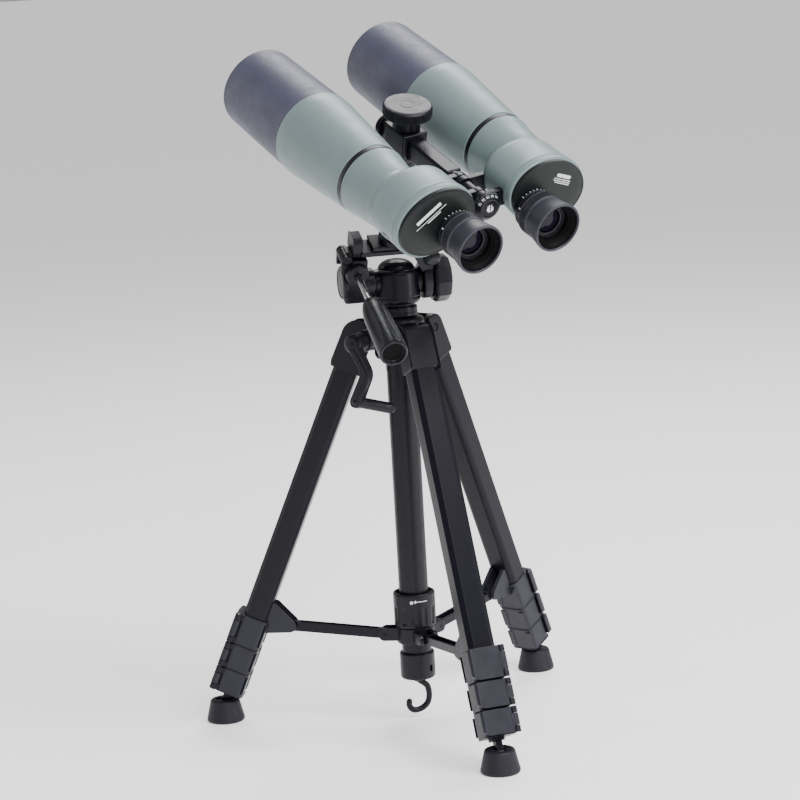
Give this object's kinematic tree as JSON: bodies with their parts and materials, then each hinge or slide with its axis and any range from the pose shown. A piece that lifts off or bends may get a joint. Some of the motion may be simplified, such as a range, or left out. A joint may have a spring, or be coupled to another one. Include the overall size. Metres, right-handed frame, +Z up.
{
  "type": "astronomy binoculars",
  "caption": "Giant green-armoured Porro binoculars with long black dew shields on a folding black tripod with pan head, crank column, flip-lock legs and spreader.",
  "frame": {"origin": "on the ground, under the middle of the whole object's footprint box", "axes": "+Z up; the binocular's objectives point up and away towards +Y and -X, the eyepieces towards -Y and +X, as stored on the head"},
  "size_m": [0.3548, 0.3736, 0.6149],
  "materials": {
    "armour": "grey-green satin rubber armour",
    "hood_rubber": "matt black rubber",
    "cover_plastic": "fine-grained black plastic",
    "black_plastic": "satin black moulded plastic",
    "black_paint": "semi-gloss black lacquer on aluminium",
    "lens_glass": "coated optical glass",
    "foot_rubber": "matt black rubber"
  },
  "bodies": {
    "stand": {"crown": "black_plastic"},
    "column": {"center_column": "black_paint"},
    "crank": {"crank": "black_plastic"},
    "pan_body": {"pan_body": "black_paint"},
    "tilt_yoke": {"tilt_yoke": "black_plastic"},
    "pan_handle": {"pan_handle": "hood_rubber"},
    "tilt_knob": {"tilt_knob": "black_plastic"},
    "platform": {"camera_platform": "black_plastic"},
    "release_plate": {"quick_release_plate": "black_plastic"},
    "mount": {"mount_post": "black_plastic"},
    "clamp_knob": {"post_clamp_knob": "black_plastic"},
    "bridge": {"center_bar": "black_plastic"},
    "brace_hub": {"brace_hub": "black_plastic"},
    "lock_collar": {"lock_collar": "black_plastic"},
    "hook": {"weight_hook": "black_paint"},
    "half_left": {"prism_housing_left": "armour", "objective_tube_left": "armour", "dew_shield_left": "hood_rubber", "objective_lens_left": "lens_glass", "rear_cover_left": "cover_plastic", "prism_pair_left": "lens_glass"},
    "eyepiece_left": {"eyepiece_tube_left": "black_plastic", "eye_lens_left": "lens_glass"},
    "focus_left": {"focus_ring_left": "hood_rubber"},
    "half_right": {"prism_housing_right": "armour", "objective_tube_right": "armour", "dew_shield_right": "hood_rubber", "objective_lens_right": "lens_glass", "rear_cover_right": "cover_plastic", "prism_pair_right": "lens_glass"},
    "eyepiece_right": {"eyepiece_tube_right": "black_plastic", "eye_lens_right": "lens_glass"},
    "focus_right": {"focus_ring_right": "hood_rubber"},
    "leg_1": {"leg_1_upper": "black_paint"},
    "leg_1_section_2": {"leg_1_section_2": "black_paint"},
    "leg_1_section_3": {"leg_1_section_3": "black_paint"},
    "leg_1_section_4": {"leg_1_section_4": "black_paint"},
    "leg_1_lever_1": {"leg_1_lever_1": "black_plastic"},
    "leg_1_lever_2": {"leg_1_lever_2": "black_plastic"},
    "leg_1_lever_3": {"leg_1_lever_3": "black_plastic"},
    "leg_1_foot": {"leg_1_foot": "foot_rubber"},
    "brace_1": {"brace_1": "black_paint"},
    "leg_2": {"leg_2_upper": "black_paint"},
    "leg_2_section_2": {"leg_2_section_2": "black_paint"},
    "leg_2_section_3": {"leg_2_section_3": "black_paint"},
    "leg_2_section_4": {"leg_2_section_4": "black_paint"},
    "leg_2_lever_1": {"leg_2_lever_1": "black_plastic"},
    "leg_2_lever_2": {"leg_2_lever_2": "black_plastic"},
    "leg_2_lever_3": {"leg_2_lever_3": "black_plastic"},
    "leg_2_foot": {"leg_2_foot": "foot_rubber"},
    "brace_2": {"brace_2": "black_paint"},
    "leg_3": {"leg_3_upper": "black_paint"},
    "leg_3_section_2": {"leg_3_section_2": "black_paint"},
    "leg_3_section_3": {"leg_3_section_3": "black_paint"},
    "leg_3_section_4": {"leg_3_section_4": "black_paint"},
    "leg_3_lever_1": {"leg_3_lever_1": "black_plastic"},
    "leg_3_lever_2": {"leg_3_lever_2": "black_plastic"},
    "leg_3_lever_3": {"leg_3_lever_3": "black_plastic"},
    "leg_3_foot": {"leg_3_foot": "foot_rubber"},
    "brace_3": {"brace_3": "black_paint"}
  },
  "joints": [
    {"name": "column_lift", "type": "slide", "parent": "stand", "child": "column", "axis": [0, 0, 1], "range_m": [0, 0.19]},
    {"name": "crank_turn", "type": "hinge", "parent": "stand", "child": "crank", "pos_m": [0.01575, 0.02756, 0.35], "axis": [-0.5299, -0.848, 0], "range_deg": [-908.2, 0]},
    {"name": "pan", "type": "hinge", "parent": "column", "child": "pan_body", "pos_m": [0.01575, 0.02756, 0.394], "axis": [0, 0, 1], "continuous": true},
    {"name": "tilt", "type": "hinge", "parent": "pan_body", "child": "tilt_yoke", "pos_m": [0.01575, 0.02756, 0.394], "axis": [0.9612, 0.2758, 0], "range_deg": [-55, 12]},
    {"name": "tilt_knob_turn", "type": "hinge", "parent": "tilt_yoke", "child": "tilt_knob", "pos_m": [0.01575, 0.02756, 0.394], "axis": [0.9612, 0.2758, 0], "range_deg": [0, 360]},
    {"name": "handle_twist", "type": "hinge", "parent": "tilt_yoke", "child": "pan_handle", "pos_m": [-0.01641, -0.00177, 0.40493], "axis": [0.2507, -0.8736, -0.4172], "range_deg": [0, 360]},
    {"name": "platform_flip", "type": "hinge", "parent": "tilt_yoke", "child": "platform", "pos_m": [-0.02694, 0.00229, 0.42126], "axis": [-0.2507, 0.8736, 0.4172], "range_deg": [-90, 0]},
    {"name": "plate_release", "type": "slide", "parent": "platform", "child": "release_plate", "axis": [0.1151, -0.401, 0.9088], "range_m": [0, 0.025]},
    {"name": "post_turn", "type": "hinge", "parent": "release_plate", "child": "mount", "pos_m": [0.02059, 0.01068, 0.43226], "axis": [0.1151, -0.401, 0.9088], "range_deg": [-90, 90]},
    {"name": "clamp_knob_turn", "type": "hinge", "parent": "mount", "child": "clamp_knob", "pos_m": [0.02059, 0.01068, 0.43226], "axis": [0.1151, -0.401, 0.9088], "range_deg": [0, 720]},
    {"name": "bar_slide", "type": "slide", "parent": "mount", "child": "bridge", "axis": [-0.5329, 0.7471, 0.3972], "range_m": [-0.008, 0.055]},
    {"name": "ipd_right", "type": "hinge", "parent": "bridge", "child": "half_right", "pos_m": [0.12277, -0.15559, 0.45159], "axis": [-0.5329, 0.7471, 0.3972], "range_deg": [0, 26]},
    {"name": "ipd_left", "type": "hinge", "parent": "bridge", "child": "half_left", "pos_m": [0.12277, -0.15559, 0.45159], "axis": [-0.5329, 0.7471, 0.3972], "range_deg": [-26, 0]},
    {"name": "eye_slide_left", "type": "slide", "parent": "half_left", "child": "eyepiece_left", "axis": [-0.5329, 0.7471, 0.3972], "range_m": [-0.005, 0]},
    {"name": "focus_turn_left", "type": "hinge", "parent": "eyepiece_left", "child": "focus_left", "pos_m": [0.09068, -0.17318, 0.44161], "axis": [-0.5329, 0.7471, 0.3972], "range_deg": [-301, 0]},
    {"name": "eye_slide_right", "type": "slide", "parent": "half_right", "child": "eyepiece_right", "axis": [-0.5329, 0.7471, 0.3972], "range_m": [-0.005, 0]},
    {"name": "focus_turn_right", "type": "hinge", "parent": "eyepiece_right", "child": "focus_right", "pos_m": [0.15355, -0.13342, 0.4512], "axis": [-0.5329, 0.7471, 0.3972], "range_deg": [-301, 0]},
    {"name": "leg_1_fold", "type": "hinge", "parent": "stand", "child": "leg_1", "pos_m": [-0.01899, 0.03183, 0.34893], "axis": [0.1219, 0.9925, 0], "range_deg": [-15.4, 0]},
    {"name": "leg_2_fold", "type": "hinge", "parent": "stand", "child": "leg_2", "pos_m": [0.02942, -0.00466, 0.34893], "axis": [-0.9205, -0.3907, 0], "range_deg": [-15.4, 0]},
    {"name": "leg_3_fold", "type": "hinge", "parent": "stand", "child": "leg_3", "pos_m": [0.03681, 0.05551, 0.34893], "axis": [0.7986, -0.6018, 0], "range_deg": [-15.4, 0]},
    {"name": "hub_slide", "type": "slide", "parent": "stand", "child": "brace_hub", "axis": [0, 0, 1], "range_m": [0, 0.0813]},
    {"name": "brace_1_swing", "type": "hinge", "parent": "brace_hub", "child": "brace_1", "pos_m": [-0.01105, 0.03085, 0.079], "axis": [-0.1219, -0.9925, 0], "range_deg": [0, 88.1]},
    {"name": "brace_2_swing", "type": "hinge", "parent": "brace_hub", "child": "brace_2", "pos_m": [0.0263, 0.00271, 0.079], "axis": [0.9205, 0.3907, 0], "range_deg": [0, 88.1]},
    {"name": "brace_3_swing", "type": "hinge", "parent": "brace_hub", "child": "brace_3", "pos_m": [0.032, 0.04912, 0.079], "axis": [-0.7986, 0.6018, 0], "range_deg": [0, 88.1]},
    {"name": "collar_twist", "type": "hinge", "parent": "brace_hub", "child": "lock_collar", "pos_m": [0.01575, 0.02756, 0], "axis": [0, 0, 1], "range_deg": [0, 60]},
    {"name": "leg_1_extend_2", "type": "slide", "parent": "leg_1", "child": "leg_1_section_2", "axis": [-0.391, 0.048, -0.9191], "range_m": [0, 0.17]},
    {"name": "leg_1_extend_3", "type": "slide", "parent": "leg_1_section_2", "child": "leg_1_section_3", "axis": [-0.391, 0.048, -0.9191], "range_m": [0, 0.17]},
    {"name": "leg_1_extend_4", "type": "slide", "parent": "leg_1_section_3", "child": "leg_1_section_4", "axis": [-0.391, 0.048, -0.9191], "range_m": [0, 0.17]},
    {"name": "leg_1_lever_1_flip", "type": "hinge", "parent": "leg_1", "child": "leg_1_lever_1", "pos_m": [-0.03331, 0.01928, 0.35437], "axis": [0.391, -0.048, 0.9191], "range_deg": [0, 100]},
    {"name": "leg_1_lever_2_flip", "type": "hinge", "parent": "leg_1_section_2", "child": "leg_1_lever_2", "pos_m": [-0.03331, 0.01928, 0.35437], "axis": [0.391, -0.048, 0.9191], "range_deg": [0, 100]},
    {"name": "leg_1_lever_3_flip", "type": "hinge", "parent": "leg_1_section_3", "child": "leg_1_lever_3", "pos_m": [-0.03331, 0.01928, 0.35437], "axis": [0.391, -0.048, 0.9191], "range_deg": [0, 100]},
    {"name": "leg_1_ankle", "type": "hinge", "parent": "leg_1_section_4", "child": "leg_1_foot", "pos_m": [-0.16053, 0.0492, 0.0162], "axis": [0.1219, 0.9925, 0], "range_deg": [-12, 12]},
    {"name": "leg_2_extend_2", "type": "slide", "parent": "leg_2", "child": "leg_2_section_2", "axis": [0.1539, -0.3626, -0.9191], "range_m": [0, 0.17]},
    {"name": "leg_2_extend_3", "type": "slide", "parent": "leg_2_section_2", "child": "leg_2_section_3", "axis": [0.1539, -0.3626, -0.9191], "range_m": [0, 0.17]},
    {"name": "leg_2_extend_4", "type": "slide", "parent": "leg_2_section_3", "child": "leg_2_section_4", "axis": [0.1539, -0.3626, -0.9191], "range_m": [0, 0.17]},
    {"name": "leg_2_lever_1_flip", "type": "hinge", "parent": "leg_2", "child": "leg_2_lever_1", "pos_m": [0.04745, -0.01078, 0.35437], "axis": [-0.1539, 0.3626, 0.9191], "range_deg": [0, 100]},
    {"name": "leg_2_lever_2_flip", "type": "hinge", "parent": "leg_2_section_2", "child": "leg_2_lever_2", "pos_m": [0.04745, -0.01078, 0.35437], "axis": [-0.1539, 0.3626, 0.9191], "range_deg": [0, 100]},
    {"name": "leg_2_lever_3_flip", "type": "hinge", "parent": "leg_2_section_3", "child": "leg_2_lever_3", "pos_m": [0.04745, -0.01078, 0.35437], "axis": [-0.1539, 0.3626, 0.9191], "range_deg": [0, 100]},
    {"name": "leg_2_ankle", "type": "hinge", "parent": "leg_2_section_4", "child": "leg_2_foot", "pos_m": [0.08515, -0.13593, 0.0162], "axis": [-0.9205, -0.3907, 0], "range_deg": [-12, 12]},
    {"name": "leg_3_extend_2", "type": "slide", "parent": "leg_3", "child": "leg_3_section_2", "axis": [0.2371, 0.3146, -0.9191], "range_m": [0, 0.17]},
    {"name": "leg_3_extend_3", "type": "slide", "parent": "leg_3_section_2", "child": "leg_3_section_3", "axis": [0.2371, 0.3146, -0.9191], "range_m": [0, 0.17]},
    {"name": "leg_3_extend_4", "type": "slide", "parent": "leg_3_section_3", "child": "leg_3_section_4", "axis": [0.2371, 0.3146, -0.9191], "range_m": [0, 0.17]},
    {"name": "leg_3_lever_1_flip", "type": "hinge", "parent": "leg_3", "child": "leg_3_lever_1", "pos_m": [0.03311, 0.07419, 0.35437], "axis": [-0.2371, -0.3146, 0.9191], "range_deg": [0, 100]},
    {"name": "leg_3_lever_2_flip", "type": "hinge", "parent": "leg_3_section_2", "child": "leg_3_lever_2", "pos_m": [0.03311, 0.07419, 0.35437], "axis": [-0.2371, -0.3146, 0.9191], "range_deg": [0, 100]},
    {"name": "leg_3_lever_3_flip", "type": "hinge", "parent": "leg_3_section_3", "child": "leg_3_lever_3", "pos_m": [0.03311, 0.07419, 0.35437], "axis": [-0.2371, -0.3146, 0.9191], "range_deg": [0, 100]},
    {"name": "leg_3_ankle", "type": "hinge", "parent": "leg_3_section_4", "child": "leg_3_foot", "pos_m": [0.12264, 0.1694, 0.0162], "axis": [0.7986, -0.6018, 0], "range_deg": [-12, 12]},
    {"name": "hook_swivel", "type": "hinge", "parent": "stand", "child": "hook", "pos_m": [0.01575, 0.02756, 0], "axis": [0, 0, 1], "continuous": true}
  ],
  "couplings": [
    {"joint": "crank_turn", "follows": "column_lift", "rad_per_m": -83.333},
    {"joint": "ipd_left", "follows": "ipd_right", "ratio": -1},
    {"joint": "focus_turn_left", "follows": "eye_slide_left", "rad_per_m": 1047.2},
    {"joint": "focus_turn_right", "follows": "eye_slide_right", "rad_per_m": 1047.2},
    {"joint": "leg_2_fold", "follows": "leg_1_fold", "ratio": 1},
    {"joint": "leg_3_fold", "follows": "leg_1_fold", "ratio": 1},
    {"joint": "hub_slide", "follows": "leg_1_fold", "m_per_rad": -0.30176},
    {"joint": "brace_1_swing", "follows": "leg_1_fold", "ratio": -5.7154},
    {"joint": "brace_2_swing", "follows": "leg_1_fold", "ratio": -5.7154},
    {"joint": "brace_3_swing", "follows": "leg_1_fold", "ratio": -5.7154}
  ]
}
